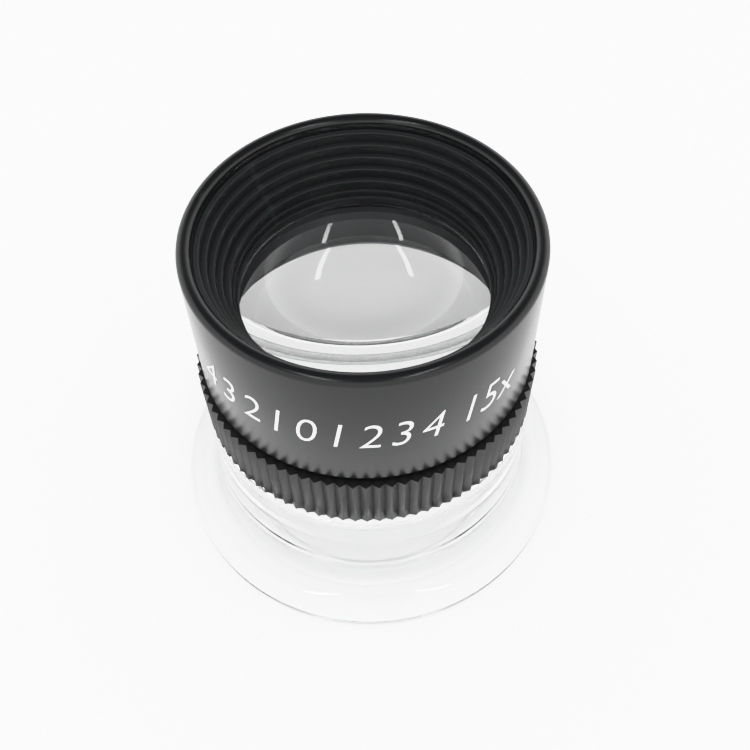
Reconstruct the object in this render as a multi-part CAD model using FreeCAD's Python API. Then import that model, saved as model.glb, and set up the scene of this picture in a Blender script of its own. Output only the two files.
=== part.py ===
import FreeCAD, Part
import math
import os
from FreeCAD import Vector

# Focusing loupe for prints, film and slides: a black eyepiece that screws into a clear skirt.
# The axis is +Z. The origin is the middle of the foot, on the surface the loupe stands on.
# All sizes are millimetres. Threads are drawn as plain cylinders at their crests.

os.makedirs("parts", exist_ok=True)

# --- Running fits and small gaps ---------------------------------------------------------
thread_clearance = 0.06      # radial, tube thread in the skirt and in the lock ring
cell_clearance = 0.03        # radial, lens edges in the barrel's cell
seat_clearance = 0.03        # axial, lens faces to the lip and to the retaining ring
insert_clearance = 0.02      # radial, stepped baffle in the cup
ring_clearance = 0.05        # axial, lock ring over the skirt's collar

# --- Optics: two cemented pairs, crowns facing each other --------------------------------
lens_radius = 11.0
outer_curve = 60.0           # radius of the two outermost faces
cement_curve = 20.0          # radius of the cemented faces
inner_curve = 28.0           # radius of the two faces over the air gap
flint_centre = 1.2           # thickness on the axis
crown_edge = 0.6             # thickness at the rim of the lens
air_gap = 0.3                # between the two crowns, on the axis
spacer_wall = 0.8

# --- Eyepiece barrel ---------------------------------------------------------------------
barrel_height = 12.35
tube_wall = 1.35             # lens cell to thread crest
thread_engagement = 1.6      # tube thread inside the skirt
nose_wall = 0.6              # lens cell to outside, on the plain end below the thread
cup_step = 1.62              # lens cell to cup wall
rim_wall = 1.17
barrel_flare = 0.18
rim_round = 0.58
rim_inner_round = 0.58
edge_chamfer = 0.12
tube_chamfer = 0.3
relief_depth = 0.35
relief_height = 0.6
cup_depth = 6.75
lip_thickness = 0.4
lip_width = 0.9              # how far the lip covers the lens's rim

# --- Stepped baffle ----------------------------------------------------------------------
first_ledge_depth = 1.05
ledge_count = 5
narrow_ledge_count = 2
narrow_ledge = 0.2
narrow_ledge_rise = 0.6
aperture_margin = 1.0        # lens radius less aperture radius
ledge_round = 0.12

# --- Lower retaining ring ----------------------------------------------------------------
retainer_height = 1.3
retainer_setback = 0.2       # how far the ring sits inside the end of the tube
spanner_slot_width = 1.0
spanner_slot_depth = 0.6
spanner_slot_count = 2

# --- Lock ring ---------------------------------------------------------------------------
lock_ring_height = 5.8
lock_ring_wall = 1.68        # thread to the bottom of the teeth
tooth_count = 90
tooth_depth = 0.38
tooth_end_chamfer = 0.22
bore_chamfer = 0.3
focus_gap = 0.7              # lock ring to barrel

# --- Clear skirt -------------------------------------------------------------------------
skirt_height = 12.95
collar_wall = 2.3
collar_height = 0.9
collar_round = 0.35
neck_step = 0.35             # collar to neck
neck_cove = 0.35
neck_spread = 0.85           # how much the neck widens down to the bell
bell_round = 2.4             # concave outside radius of the bell
foot_thickness = 1.0
foot_ledge = 0.35            # flat between the bell and the foot's rounded edge
foot_round = 0.3

# --- What follows from them --------------------------------------------------------------
cell_radius = lens_radius + cell_clearance
tube_radius = cell_radius + tube_wall
nose_radius = cell_radius + nose_wall
cup_radius = cell_radius + cup_step
rim_radius = cup_radius + rim_wall
aperture_radius = lens_radius - aperture_margin
lip_radius = lens_radius - lip_width
ledge_width = (cup_radius - aperture_radius - narrow_ledge_count * narrow_ledge) / ledge_count
ledge_rise = (cup_depth - first_ledge_depth - narrow_ledge_count * narrow_ledge_rise) / ledge_count
thread_bore_radius = tube_radius + thread_clearance

lock_ring_bottom = skirt_height + ring_clearance
lock_ring_top = lock_ring_bottom + lock_ring_height
tooth_root_radius = thread_bore_radius + lock_ring_wall
tooth_tip_radius = tooth_root_radius + tooth_depth

barrel_bottom = lock_ring_top + focus_gap
rim_top = barrel_bottom + barrel_height
cup_floor = rim_top - cup_depth
lip_bottom = cup_floor - lip_thickness

collar_radius = thread_bore_radius + collar_wall
neck_radius = collar_radius - neck_step
bell_radius = neck_radius + neck_spread
foot_radius = bell_radius + bell_round + foot_ledge + foot_round


def sag(radius, curve):
    """How far a face of the given curve falls away at a distance from the axis."""
    return curve - math.sqrt(curve ** 2 - radius ** 2)


crown_centre = crown_edge + sag(lens_radius, inner_curve) + sag(lens_radius, cement_curve)
outer_vertex = lip_bottom - seat_clearance + sag(lip_radius, outer_curve)
cement_vertex = outer_vertex - flint_centre
inner_vertex = cement_vertex - crown_centre
stack_middle = inner_vertex - air_gap / 2
retainer_top = 2 * stack_middle - lip_bottom
retainer_bottom = retainer_top - retainer_height
tube_bottom = retainer_bottom - retainer_setback
thread_bottom = skirt_height - thread_engagement


class Section:
    """One half of a turned piece, drawn as radius and height, then spun about the axis."""

    def __init__(self, radius, height):
        self.start = Vector(radius, 0, height)
        self.pen = self.start
        self.edges = []

    def line(self, radius, height):
        end = Vector(radius, 0, height)
        self.edges.append(Part.makeLine(self.pen, end))
        self.pen = end
        return self

    def arc(self, centre_radius, centre_height, radius, height):
        """An arc of less than half a turn from the pen, about a centre."""
        centre = Vector(centre_radius, 0, centre_height)
        end = Vector(radius, 0, height)
        middle = (self.pen - centre) + (end - centre)
        middle = centre + middle.normalize() * (self.pen - centre).Length
        self.edges.append(Part.Arc(self.pen, middle, end).toShape())
        self.pen = end
        return self

    def spin(self):
        if (self.pen - self.start).Length > 1e-7:
            self.line(self.start.x, self.start.z)
        face = Part.Face(Part.Wire(self.edges))
        solid = face.revolve(Vector(0, 0, 0), Vector(0, 0, 1), 360)
        if solid.Volume < 0:
            solid.reverse()
        return solid


def clear_skirt():
    """Clear acrylic skirt: threaded collar, slightly spread neck and a bell that ends in the foot."""
    flare_centre = bell_radius + bell_round
    flare_height = foot_thickness + bell_round
    inner_round = flare_centre - thread_bore_radius
    mouth_radius = flare_centre - math.sqrt(inner_round ** 2 - flare_height ** 2)
    collar_bottom = skirt_height - collar_height
    section = Section(thread_bore_radius, flare_height)
    section.line(thread_bore_radius, skirt_height - bore_chamfer)
    section.line(thread_bore_radius + bore_chamfer, skirt_height)
    section.line(collar_radius - collar_round, skirt_height)
    section.arc(collar_radius - collar_round, skirt_height - collar_round,
                collar_radius, skirt_height - collar_round)
    section.line(collar_radius, collar_bottom)
    section.line(neck_radius, collar_bottom - neck_cove)
    section.line(bell_radius, flare_height)
    section.arc(flare_centre, flare_height, flare_centre, foot_thickness)
    section.line(foot_radius - foot_round, foot_thickness)
    section.arc(foot_radius - foot_round, foot_thickness - foot_round,
                foot_radius, foot_thickness - foot_round)
    section.line(foot_radius, foot_round)
    section.arc(foot_radius - foot_round, foot_round, foot_radius - foot_round, 0)
    section.line(mouth_radius, 0)
    section.arc(flare_centre, flare_height, thread_bore_radius, flare_height)
    return section.spin()


def toothed_blank():
    """A prism with straight V teeth all round, as tall as the lock ring."""
    points = []
    for step in range(2 * tooth_count + 1):
        angle = math.pi * step / tooth_count
        radius = tooth_root_radius if step % 2 else tooth_tip_radius
        points.append(Vector(radius * math.cos(angle), radius * math.sin(angle), lock_ring_bottom))
    face = Part.Face(Part.makePolygon(points))
    return face.extrude(Vector(0, 0, lock_ring_height))


def lock_ring():
    """Knurled ring on the barrel's thread that is turned down onto the collar to hold the focus."""
    section = Section(thread_bore_radius, lock_ring_bottom + bore_chamfer)
    section.line(thread_bore_radius + bore_chamfer, lock_ring_bottom)
    section.line(tooth_tip_radius - tooth_end_chamfer, lock_ring_bottom)
    section.line(tooth_tip_radius, lock_ring_bottom + tooth_end_chamfer)
    section.line(tooth_tip_radius, lock_ring_top)
    section.line(thread_bore_radius + bore_chamfer, lock_ring_top)
    section.line(thread_bore_radius, lock_ring_top - bore_chamfer)
    return toothed_blank().common(section.spin())


def eyepiece_barrel():
    """Turned barrel: eye cup above, lip over the lenses, threaded tube and plain nose round them."""
    low_radius = rim_radius + barrel_flare
    section = Section(cell_radius, tube_bottom)
    section.line(nose_radius - edge_chamfer, tube_bottom)
    section.line(nose_radius, tube_bottom + edge_chamfer)
    section.line(nose_radius, thread_bottom)
    section.line(tube_radius - tube_chamfer, thread_bottom)
    section.line(tube_radius, thread_bottom + tube_chamfer)
    section.line(tube_radius, barrel_bottom - relief_height)
    section.line(tube_radius - relief_depth, barrel_bottom - relief_height)
    section.line(tube_radius - relief_depth, barrel_bottom)
    section.line(low_radius - edge_chamfer, barrel_bottom)
    section.line(low_radius, barrel_bottom + edge_chamfer)
    section.line(rim_radius, rim_top - rim_round)
    section.arc(rim_radius - rim_round, rim_top - rim_round, rim_radius - rim_round, rim_top)
    section.line(cup_radius + rim_inner_round, rim_top)
    section.arc(cup_radius + rim_inner_round, rim_top - rim_inner_round,
                cup_radius, rim_top - rim_inner_round)
    section.line(cup_radius, cup_floor)
    section.line(lip_radius, cup_floor)
    section.line(lip_radius, lip_bottom)
    section.line(cell_radius, lip_bottom)
    return section.spin()


def stepped_baffle():
    """Blackened insert whose ledges step down to the lens and keep stray light off the eye."""
    outside = cup_radius - insert_clearance
    radius = cup_radius
    height = rim_top - first_ledge_depth
    section = Section(outside, cup_floor)
    section.line(outside, height)
    for ledge in range(ledge_count + narrow_ledge_count):
        narrow = ledge >= ledge_count
        radius -= narrow_ledge if narrow else ledge_width
        rise = narrow_ledge_rise if narrow else ledge_rise
        rounding = min(ledge_round, 0.5 * narrow_ledge)
        section.line(radius + rounding, height)
        section.arc(radius + rounding, height - rounding, radius, height - rounding)
        height -= rise
        section.line(radius, height)
    return section.spin()


def flint_lens():
    """Upper flint: weak outer face, and a hollow lower face cemented to the crown."""
    section = Section(0, cement_vertex)
    section.line(0, outer_vertex)
    section.arc(0, outer_vertex - outer_curve, lens_radius, outer_vertex - sag(lens_radius, outer_curve))
    section.line(lens_radius, cement_vertex - sag(lens_radius, cement_curve))
    section.arc(0, cement_vertex - cement_curve, 0, cement_vertex)
    return section.spin()


def crown_lens():
    """Upper crown: biconvex, cemented above, open to the air gap below."""
    section = Section(0, inner_vertex)
    section.line(0, cement_vertex)
    section.arc(0, cement_vertex - cement_curve, lens_radius, cement_vertex - sag(lens_radius, cement_curve))
    section.line(lens_radius, inner_vertex + sag(lens_radius, inner_curve))
    section.arc(0, inner_vertex + inner_curve, 0, inner_vertex)
    return section.spin()


def lens_spacer():
    """Ring between the two crowns, its ends turned to the curve of the glass."""
    inside = lens_radius - spacer_wall
    lower_vertex = inner_vertex - air_gap
    section = Section(inside, lower_vertex - sag(inside, inner_curve))
    section.line(inside, inner_vertex + sag(inside, inner_curve))
    section.arc(0, inner_vertex + inner_curve, lens_radius, inner_vertex + sag(lens_radius, inner_curve))
    section.line(lens_radius, lower_vertex - sag(lens_radius, inner_curve))
    section.arc(0, lower_vertex - inner_curve, inside, lower_vertex - sag(inside, inner_curve))
    return section.spin()


def lower_copy(upper_lens):
    """The lower pair is the upper pair turned over about the middle of the air gap."""
    return upper_lens.mirror(Vector(0, 0, stack_middle), Vector(0, 0, 1))


def lower_retaining_ring():
    """Threaded ring that closes the lens cell from below, with slots for a pin spanner."""
    section = Section(lip_radius, retainer_bottom)
    section.line(cell_radius, retainer_bottom)
    section.line(cell_radius, retainer_top)
    section.line(lip_radius, retainer_top)
    ring = section.spin()
    for index in range(spanner_slot_count):
        slot = Part.makeBox(2 * cell_radius, spanner_slot_width, spanner_slot_depth,
                            Vector(0, -spanner_slot_width / 2, retainer_bottom))
        slot.rotate(Vector(0, 0, 0), Vector(0, 0, 1), 360 * index / spanner_slot_count)
        ring = ring.cut(slot)
    return ring


upper_flint = flint_lens()
upper_crown = crown_lens()
pieces = {
    "clear_skirt": clear_skirt(),
    "lock_ring": lock_ring(),
    "eyepiece_barrel": eyepiece_barrel(),
    "stepped_baffle": stepped_baffle(),
    "upper_flint_lens": upper_flint,
    "upper_crown_lens": upper_crown,
    "lens_spacer": lens_spacer(),
    "lower_crown_lens": lower_copy(upper_crown),
    "lower_flint_lens": lower_copy(upper_flint),
    "lower_retaining_ring": lower_retaining_ring(),
}
for name, shape in pieces.items():
    solids = shape.Solids
    piece = solids[0] if len(solids) == 1 else shape
    piece.exportStep("parts/" + name + ".step")
    box = piece.optimalBoundingBox()
    print("%-22s solids %d valid %s volume %8.2f z %.2f to %.2f radius %.2f" % (
        name, len(solids), piece.isValid(), piece.Volume, box.ZMin, box.ZMax, box.XMax))
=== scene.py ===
# %% [markdown]
# # A focusing loupe
# The loupe is a black eyepiece that screws down into a clear skirt, with a knurled ring between
# them. The engineering model is loaded first. It gives every size and place, and it is never
# moved, so the pieces made here only have to be drawn where it already stands.

# %% Load the engineering model
import math

import bmesh
import bpy
from mathutils import Matrix, Vector


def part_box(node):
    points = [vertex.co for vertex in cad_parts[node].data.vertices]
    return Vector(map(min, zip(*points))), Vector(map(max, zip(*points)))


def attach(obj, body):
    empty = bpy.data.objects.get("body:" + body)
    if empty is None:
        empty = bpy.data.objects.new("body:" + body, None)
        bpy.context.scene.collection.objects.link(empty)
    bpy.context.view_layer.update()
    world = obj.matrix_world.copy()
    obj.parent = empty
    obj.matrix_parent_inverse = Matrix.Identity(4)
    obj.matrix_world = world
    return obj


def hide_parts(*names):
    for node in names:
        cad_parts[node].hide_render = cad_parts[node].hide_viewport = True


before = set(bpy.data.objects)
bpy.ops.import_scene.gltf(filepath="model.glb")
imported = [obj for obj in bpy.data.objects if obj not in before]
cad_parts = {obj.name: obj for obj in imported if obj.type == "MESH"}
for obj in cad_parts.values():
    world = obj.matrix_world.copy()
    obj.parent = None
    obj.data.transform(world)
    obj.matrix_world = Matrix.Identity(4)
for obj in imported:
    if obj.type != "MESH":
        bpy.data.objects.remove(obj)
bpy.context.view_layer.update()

# %% [markdown]
# ## Sizes
# Almost the whole loupe is turned on a lathe, so a piece is described by radii and heights. The
# outer ones are read from the model's boxes. What a box can't tell, such as the depth of a ledge,
# is named here in millimetres, as it would be on a drawing.

# %% Sizes
MM = 0.001


def radius_of(node):
    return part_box(node)[1].x


def top_of(node):
    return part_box(node)[1].z


def bottom_of(node):
    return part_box(node)[0].z


FIT = 0.03 * MM
SLIDE = 0.02 * MM
LENS_RADIUS = radius_of("upper_flint_lens")
RIM_TOP = top_of("eyepiece_barrel")
BARREL_LOW_RADIUS = radius_of("eyepiece_barrel")
TUBE_BOTTOM = bottom_of("eyepiece_barrel")
CUP_RADIUS = radius_of("stepped_baffle") + SLIDE
CUP_FLOOR = bottom_of("stepped_baffle")
FIRST_LEDGE = top_of("stepped_baffle")
CELL_RADIUS = LENS_RADIUS + FIT
RIM_RADIUS = CUP_RADIUS + 1.17 * MM
TUBE_RADIUS = CELL_RADIUS + 1.35 * MM
NOSE_RADIUS = CELL_RADIUS + 0.6 * MM
LIP_RADIUS = LENS_RADIUS - 0.9 * MM
LIP_BOTTOM = CUP_FLOOR - 0.4 * MM
APERTURE_RADIUS = LENS_RADIUS - 1.0 * MM
RING_TOP = top_of("lock_ring")
RING_BOTTOM = bottom_of("lock_ring")
SHOULDER = RING_TOP + 0.7 * MM
SKIRT_TOP = top_of("clear_skirt")
THREAD_BOTTOM = SKIRT_TOP - 1.6 * MM
BORE_RADIUS = TUBE_RADIUS + 0.06 * MM
FOOT_RADIUS = radius_of("clear_skirt")
print("rim %.2f, foot %.2f, lens %.2f mm" % (RIM_RADIUS / MM, FOOT_RADIUS / MM, LENS_RADIUS / MM))

# %% [markdown]
# ## Turning
# A turned piece could be built from cylinders cut and joined with booleans, but that leaves ragged
# rings of triangles. Spinning an outline gives clean quads, and every corner of the outline becomes
# a ring of edges. A real turned edge is never knife sharp, so a corner can be given a rounding, and
# the bevel tool then rolls that ring over. It is the rounding that catches a line of light.

# %% The lathe
STEPS = 240
SAME_POINT = 1e-7
SAME_PLACE = 1e-6
SHARP_ANGLE = math.radians(40)


def finish_mesh(name, mesh, finish, body):
    """Makes the object, shades it smooth and lets it ride on a body of the model."""
    bmesh.ops.remove_doubles(mesh, verts=mesh.verts, dist=SAME_POINT)
    bmesh.ops.recalc_face_normals(mesh, faces=mesh.faces)
    volume = mesh.calc_volume(signed=True) / MM ** 3
    open_edges = sum(not edge.is_manifold for edge in mesh.edges)
    data = bpy.data.meshes.new(name)
    mesh.to_mesh(data)
    mesh.free()
    for face in data.polygons:
        face.use_smooth = True
    data.set_sharp_from_angle(angle=SHARP_ANGLE)
    piece = bpy.data.objects.new(name, data)
    bpy.context.scene.collection.objects.link(piece)
    data.materials.append(finish)
    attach(piece, body)
    print("%-18s %6d faces, %d open edges, %8.2f mm3, rides on %s"
          % (name, len(data.polygons), open_edges, volume, body))
    return piece


def turn(outline, rounded=(), steps=STEPS):
    """Spins a closed outline of (radius, height) corners.

    rounded holds (corner, radius, segments) for each corner that is rolled over.
    """
    mesh = bmesh.new()
    corners = [mesh.verts.new((radius, 0, height)) for radius, height in outline]
    chain = [mesh.edges.new(pair) for pair in zip(corners, corners[1:] + corners[:1])
             if pair[0].co.x > 0 or pair[1].co.x > 0]
    bmesh.ops.spin(mesh, geom=corners + chain, cent=(0, 0, 0), axis=(0, 0, 1),
                   angle=2 * math.pi, steps=steps, use_merge=True, use_duplicate=False)
    bmesh.ops.remove_doubles(mesh, verts=mesh.verts, dist=SAME_POINT)
    for corner, size, segments in rounded:
        radius, height = outline[corner]

        def on_corner(vert):
            return (abs(vert.co.z - height) < SAME_PLACE
                    and abs(math.hypot(vert.co.x, vert.co.y) - radius) < SAME_PLACE)

        ring = [edge for edge in mesh.edges if all(on_corner(vert) for vert in edge.verts)]
        bmesh.ops.bevel(mesh, geom=ring, offset=size, offset_type="OFFSET", segments=segments,
                        profile=0.5, affect="EDGES", material=-1, clamp_overlap=False)
    return mesh


# %% [markdown]
# ## Shader maths that reads like arithmetic
# A finish is worked out by many small nodes. Wiring them by hand hides the sum that they do, so a
# wrapped socket here answers to plus, minus and times, and each sign adds its own Math node.
# Every other node comes from one method, which takes its type, its sockets and its settings.

# %% A value that changes over a surface
class Value:
    def __init__(self, nodes, socket):
        self.nodes = nodes
        self.socket = socket

    def __add__(self, other):
        return self.nodes.maths("ADD", self, other)

    def __mul__(self, other):
        return self.nodes.maths("MULTIPLY", self, other)

    def __sub__(self, other):
        return self.nodes.maths("SUBTRACT", self, other)

    def __rsub__(self, other):
        return self.nodes.maths("SUBTRACT", other, self)

    __radd__ = __add__
    __rmul__ = __mul__


# %% A tree of nodes
class Nodes:
    def __init__(self, tree):
        self.tree = tree

    def feed(self, socket, item):
        if isinstance(item, Value):
            self.tree.links.new(item.socket, socket)
        else:
            socket.default_value = item

    def node(self, kind, sockets=None, output=0, **settings):
        made = self.tree.nodes.new("ShaderNode" + kind)
        for setting, item in settings.items():
            setattr(made, setting, item)
        for socket, item in (sockets or {}).items():
            self.feed(made.inputs[socket], item)
        return Value(self, made.outputs[output])

    def maths(self, operation, *items):
        return self.node("Math", dict(enumerate(items)), operation=operation)

    def noise(self, place, scale, detail=2.0):
        return self.node("TexNoise", {"Vector": place, "Scale": scale, "Detail": detail})

    def span(self, item, low, high, to_low=0.0, to_high=1.0):
        """Stretches the part of a value between low and high, and holds it at the ends."""
        limits = {"Value": item, "From Min": low, "From Max": high,
                  "To Min": to_low, "To Max": to_high}
        return self.node("MapRange", limits, interpolation_type="SMOOTHSTEP")

    def tint(self, share, first, second):
        """One colour fading into another. A colour's sockets come after those for numbers."""
        return self.node("Mix", {0: share, 6: first, 7: second}, output=2, data_type="RGBA")


class Finish(Nodes):
    """A material. Constants are named as the Principled shader's sockets, with _ for a space."""

    def __init__(self, name, **constants):
        self.material = bpy.data.materials.new(name)
        self.material.use_nodes = True
        super().__init__(self.material.node_tree)
        self.shader = self.tree.nodes["Principled BSDF"]
        self.set(**constants)

    def set(self, **inputs):
        for socket, item in inputs.items():
            self.feed(self.shader.inputs[socket.replace("_", " ")], item)

    def place(self):
        """Where a point is on the piece, in metres."""
        return self.node("TexCoord", output="Object")

    def bump(self, height, depth):
        return self.node("Bump", {"Height": height, "Distance": depth})


print("shader helpers ready")

# %% [markdown]
# ## Black anodised aluminium
# Anodising grows a hard dyed skin that is black but never mirror smooth. Seen close it has a very
# fine grain, and the turning leaves faint rings round the part. The skin behaves like a dull glaze
# over black rather than like bare metal: face on it is nearly black, and at a glancing angle it
# shows the bright room. Where fingers rub the edges, the skin is a little thinner and paler.

# %% Black finishes
SKIN_BEND = 1.40
RUBBED = 0.5
GRAIN_DEPTH = 0.01 * MM


def black_finish(name, shade, rough, grain, rings=0.0):
    """shade is its colour, rough its dullness. grain and rings say how strongly each shows."""
    finish = Finish(name, IOR=SKIN_BEND)
    place = finish.place()
    fine = finish.noise(place, 9000, 3)
    cloud = finish.noise(place, 260, 3)
    across = finish.node("VectorMath", {0: place, 1: (1, 1, 0)}, operation="MULTIPLY")
    from_axis = finish.node("VectorMath", {0: across}, output="Value", operation="LENGTH")
    height = finish.node("SeparateXYZ", {0: place}, output="Z")
    turned = finish.node("TexNoise", {"W": from_axis + height, "Scale": 6000, "Detail": 1.0},
                         noise_dimensions="1D")
    edge = finish.span(finish.node("NewGeometry", output="Pointiness"), 0.53, 0.62)
    pale = tuple(channel * 3 for channel in shade) + (1,)
    finish.set(Base_Color=finish.tint(edge * RUBBED + cloud * 0.15, shade + (1,), pale),
               Roughness=rough + cloud * 0.08 + fine * 0.06,
               Normal=finish.bump(fine * grain + turned * rings, GRAIN_DEPTH))
    return finish.material


anodised = black_finish("black_anodised", (0.006, 0.0065, 0.007), 0.16, 0.35, rings=0.10)
knurl_black = black_finish("black_anodised_knurl", (0.006, 0.006, 0.006), 0.26, 0.10)
matt_black = black_finish("matt_black", (0.009, 0.010, 0.011), 0.40, 0.50, rings=0.15)
print("black finishes:", anodised.name, knurl_black.name, matt_black.name)

# %% [markdown]
# ## Clear acrylic and glass
# Both are clear solids whose look comes from bending light, so they need a true thickness and
# smooth faces more than they need colour. Acrylic bends light less than glass, and its faint tint
# darkens where light runs a long way inside it. Their shadows would come out too dark, so a mix
# shader lets the light that goes to a lamp or to the sky straight through.

# %% Clear finishes
def clear_finish(name, colour, bend, smear):
    finish = Finish(name, Base_Color=colour, IOR=bend, Transmission_Weight=1.0)
    cloud = finish.noise(finish.place(), 180, 4)
    finish.set(Roughness=finish.span(cloud, 0.5, 0.8) * smear)
    lamp = finish.node("LightPath", output="Is Shadow Ray")
    through = finish.node("BsdfTransparent", {"Color": (1, 1, 1, 1)})
    bending = Value(finish, finish.shader.outputs[0])
    mixed = finish.node("MixShader", {0: lamp, 1: bending, 2: through})
    finish.feed(finish.tree.nodes["Material Output"].inputs["Surface"], mixed)
    return finish.material


acrylic = clear_finish("clear_acrylic", (0.950, 0.958, 0.956, 1), bend=1.49, smear=0.02)
glass = clear_finish("lens_glass", (1, 1, 1, 1), bend=1.58, smear=0.005)
print("clear finishes:", acrylic.name, glass.name)

# %% [markdown]
# ## The clear skirt
# The skirt is moulded in one piece: a collar under the lock ring, a neck that spreads a little, and
# a bell that sweeps out to the foot. The outline is drawn with sharp corners. Those of the collar
# and the foot are broken a little, and the one between bell and foot gets its long sweep.

# %% Clear skirt
COLLAR_RADIUS = BORE_RADIUS + 2.3 * MM
NECK_RADIUS = COLLAR_RADIUS - 0.35 * MM
BELL_RADIUS = NECK_RADIUS + 0.85 * MM
NECK_TOP = SKIRT_TOP - 1.25 * MM
COLLAR_HEIGHT = 0.9 * MM
LEAD_IN = 0.3 * MM
BELL_ROUND = 2.4 * MM
FOOT_THICKNESS = 1.0 * MM
BELL_HEIGHT = FOOT_THICKNESS + BELL_ROUND
INNER_ROUND = BELL_RADIUS + BELL_ROUND - BORE_RADIUS


def bell_inside(count=14):
    """The inner sweep of the bell, about the same centre as the outer one."""
    centre = BELL_RADIUS + BELL_ROUND
    last = math.asin(BELL_HEIGHT / INNER_ROUND)
    turns = [last * (1 - step / count) for step in range(count + 1)]
    return [(centre - INNER_ROUND * math.cos(a), BELL_HEIGHT - INNER_ROUND * math.sin(a))
            for a in turns]


bell = bell_inside()
skirt_outline = bell + [
    (BORE_RADIUS, SKIRT_TOP - LEAD_IN), (BORE_RADIUS + LEAD_IN, SKIRT_TOP),
    (COLLAR_RADIUS, SKIRT_TOP), (COLLAR_RADIUS, SKIRT_TOP - COLLAR_HEIGHT),
    (NECK_RADIUS, NECK_TOP), (BELL_RADIUS, FOOT_THICKNESS),
    (FOOT_RADIUS, FOOT_THICKNESS), (FOOT_RADIUS, 0)]
first = len(bell)
skirt = turn(skirt_outline, rounded=(
    (first + 2, 0.35 * MM, 5), (first + 3, 0.15 * MM, 3), (first + 4, 0.3 * MM, 3),
    (first + 5, 2.2 * MM, 14), (first + 6, 0.3 * MM, 5), (first + 7, 0.3 * MM, 5)))
skirt = finish_mesh("skirt", skirt, acrylic, "skirt")
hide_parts("clear_skirt")

# %% [markdown]
# ## The barrel
# One turned tube does four jobs: the eye cup at the top, a lip that the lenses sit under, the
# smooth wall that carries the marking, and the threaded tube below. A narrow relief is cut where
# the thread meets the shoulder. The rim is nearly a half round, which is what makes it comfortable
# against the eye.

# %% Eyepiece barrel
RIM_ROUND = 0.58 * MM
RELIEF_TOP = SHOULDER
RELIEF_BOTTOM = SHOULDER - 0.6 * MM
RELIEF_RADIUS = TUBE_RADIUS - 0.35 * MM
barrel_outline = [
    (CELL_RADIUS, TUBE_BOTTOM), (NOSE_RADIUS, TUBE_BOTTOM), (NOSE_RADIUS, THREAD_BOTTOM),
    (TUBE_RADIUS, THREAD_BOTTOM), (TUBE_RADIUS, RELIEF_BOTTOM),
    (RELIEF_RADIUS, RELIEF_BOTTOM), (RELIEF_RADIUS, RELIEF_TOP),
    (BARREL_LOW_RADIUS, SHOULDER), (RIM_RADIUS, RIM_TOP), (CUP_RADIUS, RIM_TOP),
    (CUP_RADIUS, CUP_FLOOR), (LIP_RADIUS, CUP_FLOOR), (LIP_RADIUS, LIP_BOTTOM),
    (CELL_RADIUS, LIP_BOTTOM)]
barrel = turn(barrel_outline, rounded=(
    (1, 0.1 * MM, 2), (3, 0.25 * MM, 2), (7, 0.12 * MM, 3), (8, RIM_ROUND, 10), (9, RIM_ROUND, 10),
    (12, 0.06 * MM, 2)))
barrel = finish_mesh("barrel", barrel, anodised, "eyepiece")
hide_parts("eyepiece_barrel")

# %% [markdown]
# ## The stepped baffle
# A bare cone round the lens would shine into the eye. Cut as a stair, it can't: every riser looks
# at the dark riser opposite. Each step's edge is broken slightly, and those edges are the fine
# concentric lines that make the cup look deep.

# %% Stepped baffle
LEDGES = 5
NARROW_LEDGES = 2
NARROW_WIDTH = 0.2 * MM
NARROW_RISE = 0.6 * MM
WIDE_EDGE, NARROW_EDGE = 0.12 * MM, 0.08 * MM
WIDE_WIDTH = (CUP_RADIUS - APERTURE_RADIUS - NARROW_LEDGES * NARROW_WIDTH) / LEDGES
WIDE_RISE = (FIRST_LEDGE - CUP_FLOOR - NARROW_LEDGES * NARROW_RISE) / LEDGES
radius, height = CUP_RADIUS, FIRST_LEDGE
baffle_outline = [(CUP_RADIUS - SLIDE, CUP_FLOOR), (CUP_RADIUS - SLIDE, FIRST_LEDGE)]
edges = []
for ledge in range(LEDGES + NARROW_LEDGES):
    wide = ledge < LEDGES
    radius -= WIDE_WIDTH if wide else NARROW_WIDTH
    edges.append((len(baffle_outline), WIDE_EDGE if wide else NARROW_EDGE, 4))
    baffle_outline.append((radius, height))
    height -= WIDE_RISE if wide else NARROW_RISE
    baffle_outline.append((radius, height))
baffle = finish_mesh("baffle", turn(baffle_outline, rounded=edges), matt_black, "eyepiece")
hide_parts("stepped_baffle")

# %% [markdown]
# ## The knurled lock ring
# The grip is straight V teeth. On the real ring a wheel presses them into a turned blank, and they
# are made the same way here: the blank is spun with six steps for each tooth, and the points on
# its outer wall are then moved to the tooth's crest, flanks and valley. The crest and the valley
# have three points each, so they are slightly rounded and catch the light as fine lines. At the
# lower end the blank has a chamfer, so the teeth run out there and don't bite.

# %% Lock ring
TEETH = 90
TOOTH_DEPTH = 0.38 * MM
TOOTH = ((0, 0), (0.06, 0.14), (0.44, 0.86), (0.5, 1), (0.56, 0.86), (0.94, 0.14))
CREST_RADIUS = radius_of("lock_ring")
CHAMFER = 0.22 * MM
ENTRY = 0.3 * MM

ring = turn([(BORE_RADIUS + ENTRY, RING_BOTTOM), (CREST_RADIUS - CHAMFER, RING_BOTTOM),
             (CREST_RADIUS, RING_BOTTOM + CHAMFER), (CREST_RADIUS, RING_TOP),
             (BORE_RADIUS + ENTRY, RING_TOP), (BORE_RADIUS, RING_TOP - ENTRY),
             (BORE_RADIUS, RING_BOTTOM + ENTRY)], steps=TEETH * len(TOOTH))
pitch = 2 * math.pi / TEETH
for vert in ring.verts:
    blank = math.hypot(vert.co.x, vert.co.y)
    if blank > CREST_RADIUS - CHAMFER - SAME_PLACE:
        step = round(math.atan2(vert.co.y, vert.co.x) / pitch * len(TOOTH))
        along, deep = TOOTH[step % len(TOOTH)]
        turned = (step // len(TOOTH) + along) * pitch
        out = min(blank, CREST_RADIUS - deep * TOOTH_DEPTH)
        vert.co.x, vert.co.y = out * math.cos(turned), out * math.sin(turned)
print("teeth:", TEETH, "pitch %.2f mm" % (pitch * CREST_RADIUS / MM))
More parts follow.
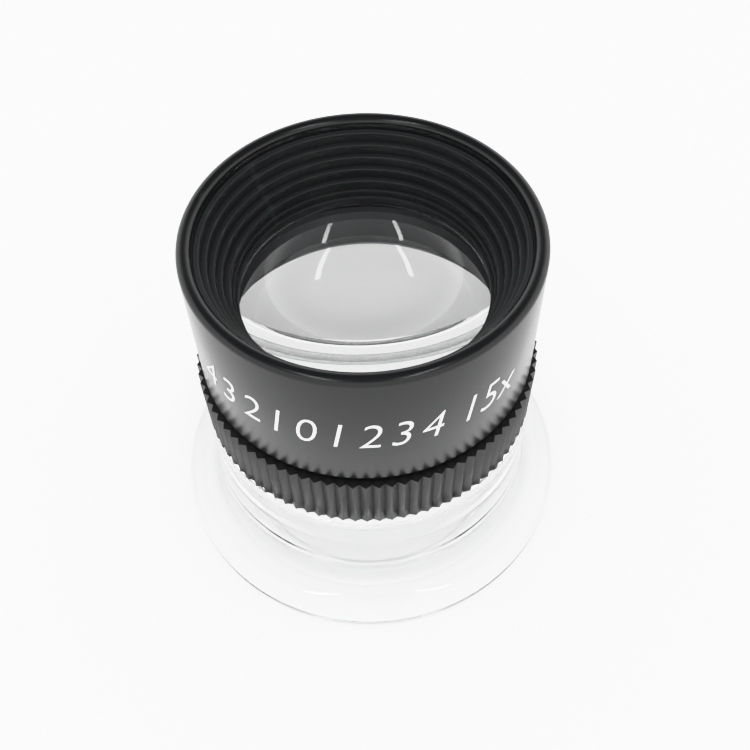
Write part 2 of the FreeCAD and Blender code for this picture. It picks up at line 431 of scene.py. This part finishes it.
ring = finish_mesh("knurled_lock_ring", ring, knurl_black, "lock")
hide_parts("lock_ring")

# %% [markdown]
# ## The lenses
# Each lens is a cemented pair, and light doesn't turn at the cement, so a pair is drawn as one
# piece of glass. A ball-ground face is an arc that starts on the axis.

# %% Lenses
def ground_face(middle, curve, way, count=24):
    """Points from the axis to the edge. The middle stands highest for way 1, lowest for way -1."""
    last = math.asin(LENS_RADIUS / curve)
    turns = [last * step / count for step in range(count + 1)]
    return [(curve * math.sin(a), middle - way * curve * (1 - math.cos(a))) for a in turns]


def lens_pair(name, below, above, under_curve, upper_curve, *nodes):
    under = ground_face(bottom_of(below), under_curve, -1)
    upper = ground_face(top_of(above), upper_curve, 1)
    lens = finish_mesh(name, turn(under + upper[::-1], steps=LENS_STEPS), glass, "lens_stack")
    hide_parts(*nodes)
    return lens


LENS_STEPS = 192
OUTER_CURVE = 60 * MM
INNER_CURVE = 28 * MM
lens_pair("upper_lens", "upper_crown_lens", "upper_flint_lens", INNER_CURVE, OUTER_CURVE,
          "upper_crown_lens", "upper_flint_lens")
lens_pair("lower_lens", "lower_flint_lens", "lower_crown_lens", OUTER_CURVE, INNER_CURVE,
          "lower_crown_lens", "lower_flint_lens")

# %% [markdown]
# ## The spacer and the retaining ring
# These two turned rings have the right shape in the engineering model already, so they stay, and
# only get their black finish.

# %% Finish for the inner rings
for node in ("lens_spacer", "lower_retaining_ring"):
    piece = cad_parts[node]
    piece.data.materials.clear()
    piece.data.materials.append(matt_black)
    print("finish on", node)

# %% [markdown]
# ## The marking
# The numbers are thin white paint on the barrel. Type starts as a flat text object. It is made a
# mesh, cut into narrow upright strips so that it can bend, and then rolled round the wall: the
# distance along the line becomes an angle in degrees, and the height sets how far the tapering
# wall is from the axis.

# %% Painted numbers
PAINT = 0.02 * MM
LIFT = 0.004 * MM
LETTER_WIDTH = 0.86
LETTER_HEIGHT = 2.9 * MM
LETTER_MIDDLE = 25.4 * MM
STRIP = 0.25 * MM


def wall_radius(height):
    share = (height - SHOULDER) / (RIM_TOP - SHOULDER)
    return BARREL_LOW_RADIUS + share * (RIM_RADIUS - BARREL_LOW_RADIUS)


def flat_text(words):
    """The words as a closed mesh, centred, as high as a capital and as thick as paint."""
    curve = bpy.data.curves.new("words", "FONT")
    curve.body = words
    curve.shear = 0.2
    curve.offset = -0.012
    curve.extrude = 0.5
    curve.resolution_u = 4
    holder = bpy.data.objects.new("words", curve)
    bpy.context.scene.collection.objects.link(holder)
    shaped = holder.evaluated_get(bpy.context.evaluated_depsgraph_get())
    mesh = bmesh.new()
    mesh.from_mesh(shaped.to_mesh())
    bpy.data.objects.remove(holder)
    low = Vector([min(vert.co[i] for vert in mesh.verts) for i in range(3)])
    high = Vector([max(vert.co[i] for vert in mesh.verts) for i in range(3)])
    bmesh.ops.translate(mesh, vec=-(low + high) / 2, verts=mesh.verts)
    grow = LETTER_HEIGHT / (high.y - low.y)
    bmesh.ops.scale(mesh, vec=(grow * LETTER_WIDTH, grow, 2 * PAINT), verts=mesh.verts)
    return mesh


def roll_round(mesh, angle):
    reach = max(abs(vert.co.x) for vert in mesh.verts)
    cut = -reach + STRIP
    while cut < reach:
        bmesh.ops.bisect_plane(mesh, geom=mesh.verts[:] + mesh.edges[:] + mesh.faces[:],
                               plane_co=(cut, 0, 0), plane_no=(1, 0, 0), dist=1e-8)
        cut += STRIP
    for vert in mesh.verts:
        height = LETTER_MIDDLE + vert.co.y
        turned = math.radians(angle) + vert.co.x / wall_radius(LETTER_MIDDLE)
        out = wall_radius(height) + vert.co.z + LIFT
        vert.co = (out * math.sin(turned), -out * math.cos(turned), height)


NUMBER_SPACING, SCALE_MIDDLE, POWER_PLACE = 9.5, -19, 40.5
focus_scale = [(str(abs(step)), NUMBER_SPACING * step + SCALE_MIDDLE) for step in range(-4, 5)]
painted = bmesh.new()
for words, angle in focus_scale + [("15x", POWER_PLACE)]:
    sign = flat_text(words)
    roll_round(sign, angle)
    flat = bpy.data.meshes.new("sign")
    sign.to_mesh(flat)
    sign.free()
    painted.from_mesh(flat)
    bpy.data.meshes.remove(flat)

paint = Finish("white_marking")
chalk = paint.noise(paint.place(), 3000, 3)
paint.set(Base_Color=paint.tint(chalk, (0.80, 0.80, 0.79, 1), (0.92, 0.92, 0.91, 1)),
          Roughness=0.45 + chalk * 0.2, Normal=paint.bump(chalk, 0.004 * MM))
marking = finish_mesh("focus_numbers", painted, paint.material, "eyepiece")

# %% [markdown]
# ## The room
# A pale sheet carries the loupe inside a pale tent. Soft light comes from everywhere above, and
# less of it from low down. Two long strips of light run from front to back under the tent's top.
# The lens mirrors them as two bright streaks, and the rim as two thin lines. Between them the top
# of the tent is dark, so the light that fills the shadows is kept out of reflections. A ray that
# has met only shiny or clear faces finds the dark top and pale walls. The camera sees a pale sheet.

# %% Floor and lamps
FLOOR_SIZE = 3
FLOOR_DROP = 0.04 * MM


def stage_floor():
    """A pale sheet, a hair under the foot, so that the two faces don't coincide."""
    mesh = bmesh.new()
    bmesh.ops.create_grid(mesh, x_segments=1, y_segments=1, size=FLOOR_SIZE)
    bmesh.ops.translate(mesh, vec=(0, 0, -FLOOR_DROP), verts=mesh.verts)
    data = bpy.data.meshes.new("floor")
    mesh.to_mesh(data)
    mesh.free()
    floor = bpy.data.objects.new("floor", data)
    bpy.context.scene.collection.objects.link(floor)
    data.materials.append(Finish("pale_sheet", Base_Color=(0.93, 0.93, 0.93, 1), Roughness=0.9,
                                 Specular_IOR_Level=0.0).material)
    return floor


def lamp(name, power, size, place):
    """A flat lamp that shines straight down."""
    light = bpy.data.lights.new(name, "AREA")
    light.shape = "RECTANGLE"
    light.size, light.size_y = size
    light.energy = power
    holder = bpy.data.objects.new(name, light)
    bpy.context.scene.collection.objects.link(holder)
    holder.location = place
    return holder


stage_floor()
fill = lamp("overhead", power=6.0, size=(0.5, 0.5), place=(0, -0.1, 1.0))
fill.visible_glossy = False
fill.visible_transmission = False
for side in (-1, 1):
    strip = lamp("strip", power=0.8, size=(0.028, 0.36), place=(side * 0.205, -0.34, 0.50))
    strip.visible_diffuse = False

# %% The tent
world = bpy.data.worlds.new("room")
world.use_nodes = True
bpy.context.scene.world = world
room = Nodes(world.node_tree)
way = room.node("TexCoord", output="Generated")
rise = room.node("SeparateXYZ", {0: way}, output="Z")
behind = room.node("SeparateXYZ", {0: way}, output="Y")
CEILING, WALLS, BACKDROP = 1.35, 0.55, 1.4
DARK_TOP, MIRRORED_WALL, BEYOND_GLASS = 0.04, 0.9, 1.8

# What a surface that scatters light is lit by, what a shiny one mirrors, and what clear ones show.
fill_light = room.span(rise, 0.35, 0.7, WALLS, CEILING)
back_wall = room.span(behind, -0.1, 0.4) * (1 - room.span(rise, 0.62, 0.80))
mirrored = back_wall * MIRRORED_WALL + DARK_TOP
beyond = room.span(rise, 0.45, 0.70, BEYOND_GLASS, DARK_TOP)

# The depths are whole numbers, so a limit halfway between two of them tells them apart.
unscattered = room.maths("LESS_THAN", room.node("LightPath", output="Diffuse Depth"), 0.5)
first = room.maths("LESS_THAN", room.node("LightPath", output="Ray Depth"), 1.5)
seen = room.node("LightPath", output="Is Camera Ray")
sharp = first * mirrored + (1 - first) * beyond
light = fill_light * (1 - unscattered) + unscattered * sharp
background = world.node_tree.nodes["Background"]
background.inputs["Color"].default_value = (1, 1, 1, 1)
room.feed(background.inputs["Strength"], light * (1 - seen) + seen * BACKDROP)
print("nodes in the tent:", len(world.node_tree.nodes))

# %% [markdown]
# ## The camera
# The camera stands close and looks steeply down, which is why the rim looks so much bigger than
# the foot. It is turned a little and tilted a little, as a hand holds it. Very bright light is
# rolled off gently, as film does, so that the pale sheet keeps some tone below white.

# %% Camera
def place_camera(eye, down, turned, tilted, lens):
    """The angles are in radians, and the lens is in millimetres."""
    data = bpy.data.cameras.new("camera")
    data.lens = lens
    data.sensor_width = 36
    data.clip_start = 0.001
    camera = bpy.data.objects.new("camera", data)
    bpy.context.scene.collection.objects.link(camera)
    aim = (Matrix.Rotation(-turned, 4, "Z") @ Matrix.Rotation(math.pi / 2 - down, 4, "X")
           @ Matrix.Rotation(tilted, 4, "Z"))
    camera.matrix_world = Matrix.Translation(eye) @ aim
    bpy.context.scene.camera = camera
    return camera


camera = place_camera(eye=(0, -46.79 * MM, 78.76 * MM), down=0.9492, turned=0.0134, tilted=-0.0283,
                      lens=42.62)
view = bpy.context.scene.view_settings
view.view_transform = "Standard"
view.use_curve_mapping = True
WHITE = 2.0
FILM = ((0.25, 0.25), (0.60, 0.67), (0.85, 0.84), (1.08, 0.90), (1.35, 0.945))
curve = view.curve_mapping
curve.white_level = (WHITE, WHITE, WHITE)
response = curve.curves[3].points
for light_in, tone_out in FILM:
    response.new(light_in / WHITE, tone_out)
curve.update()
print("camera at", [round(value, 4) for value in camera.matrix_world.translation])
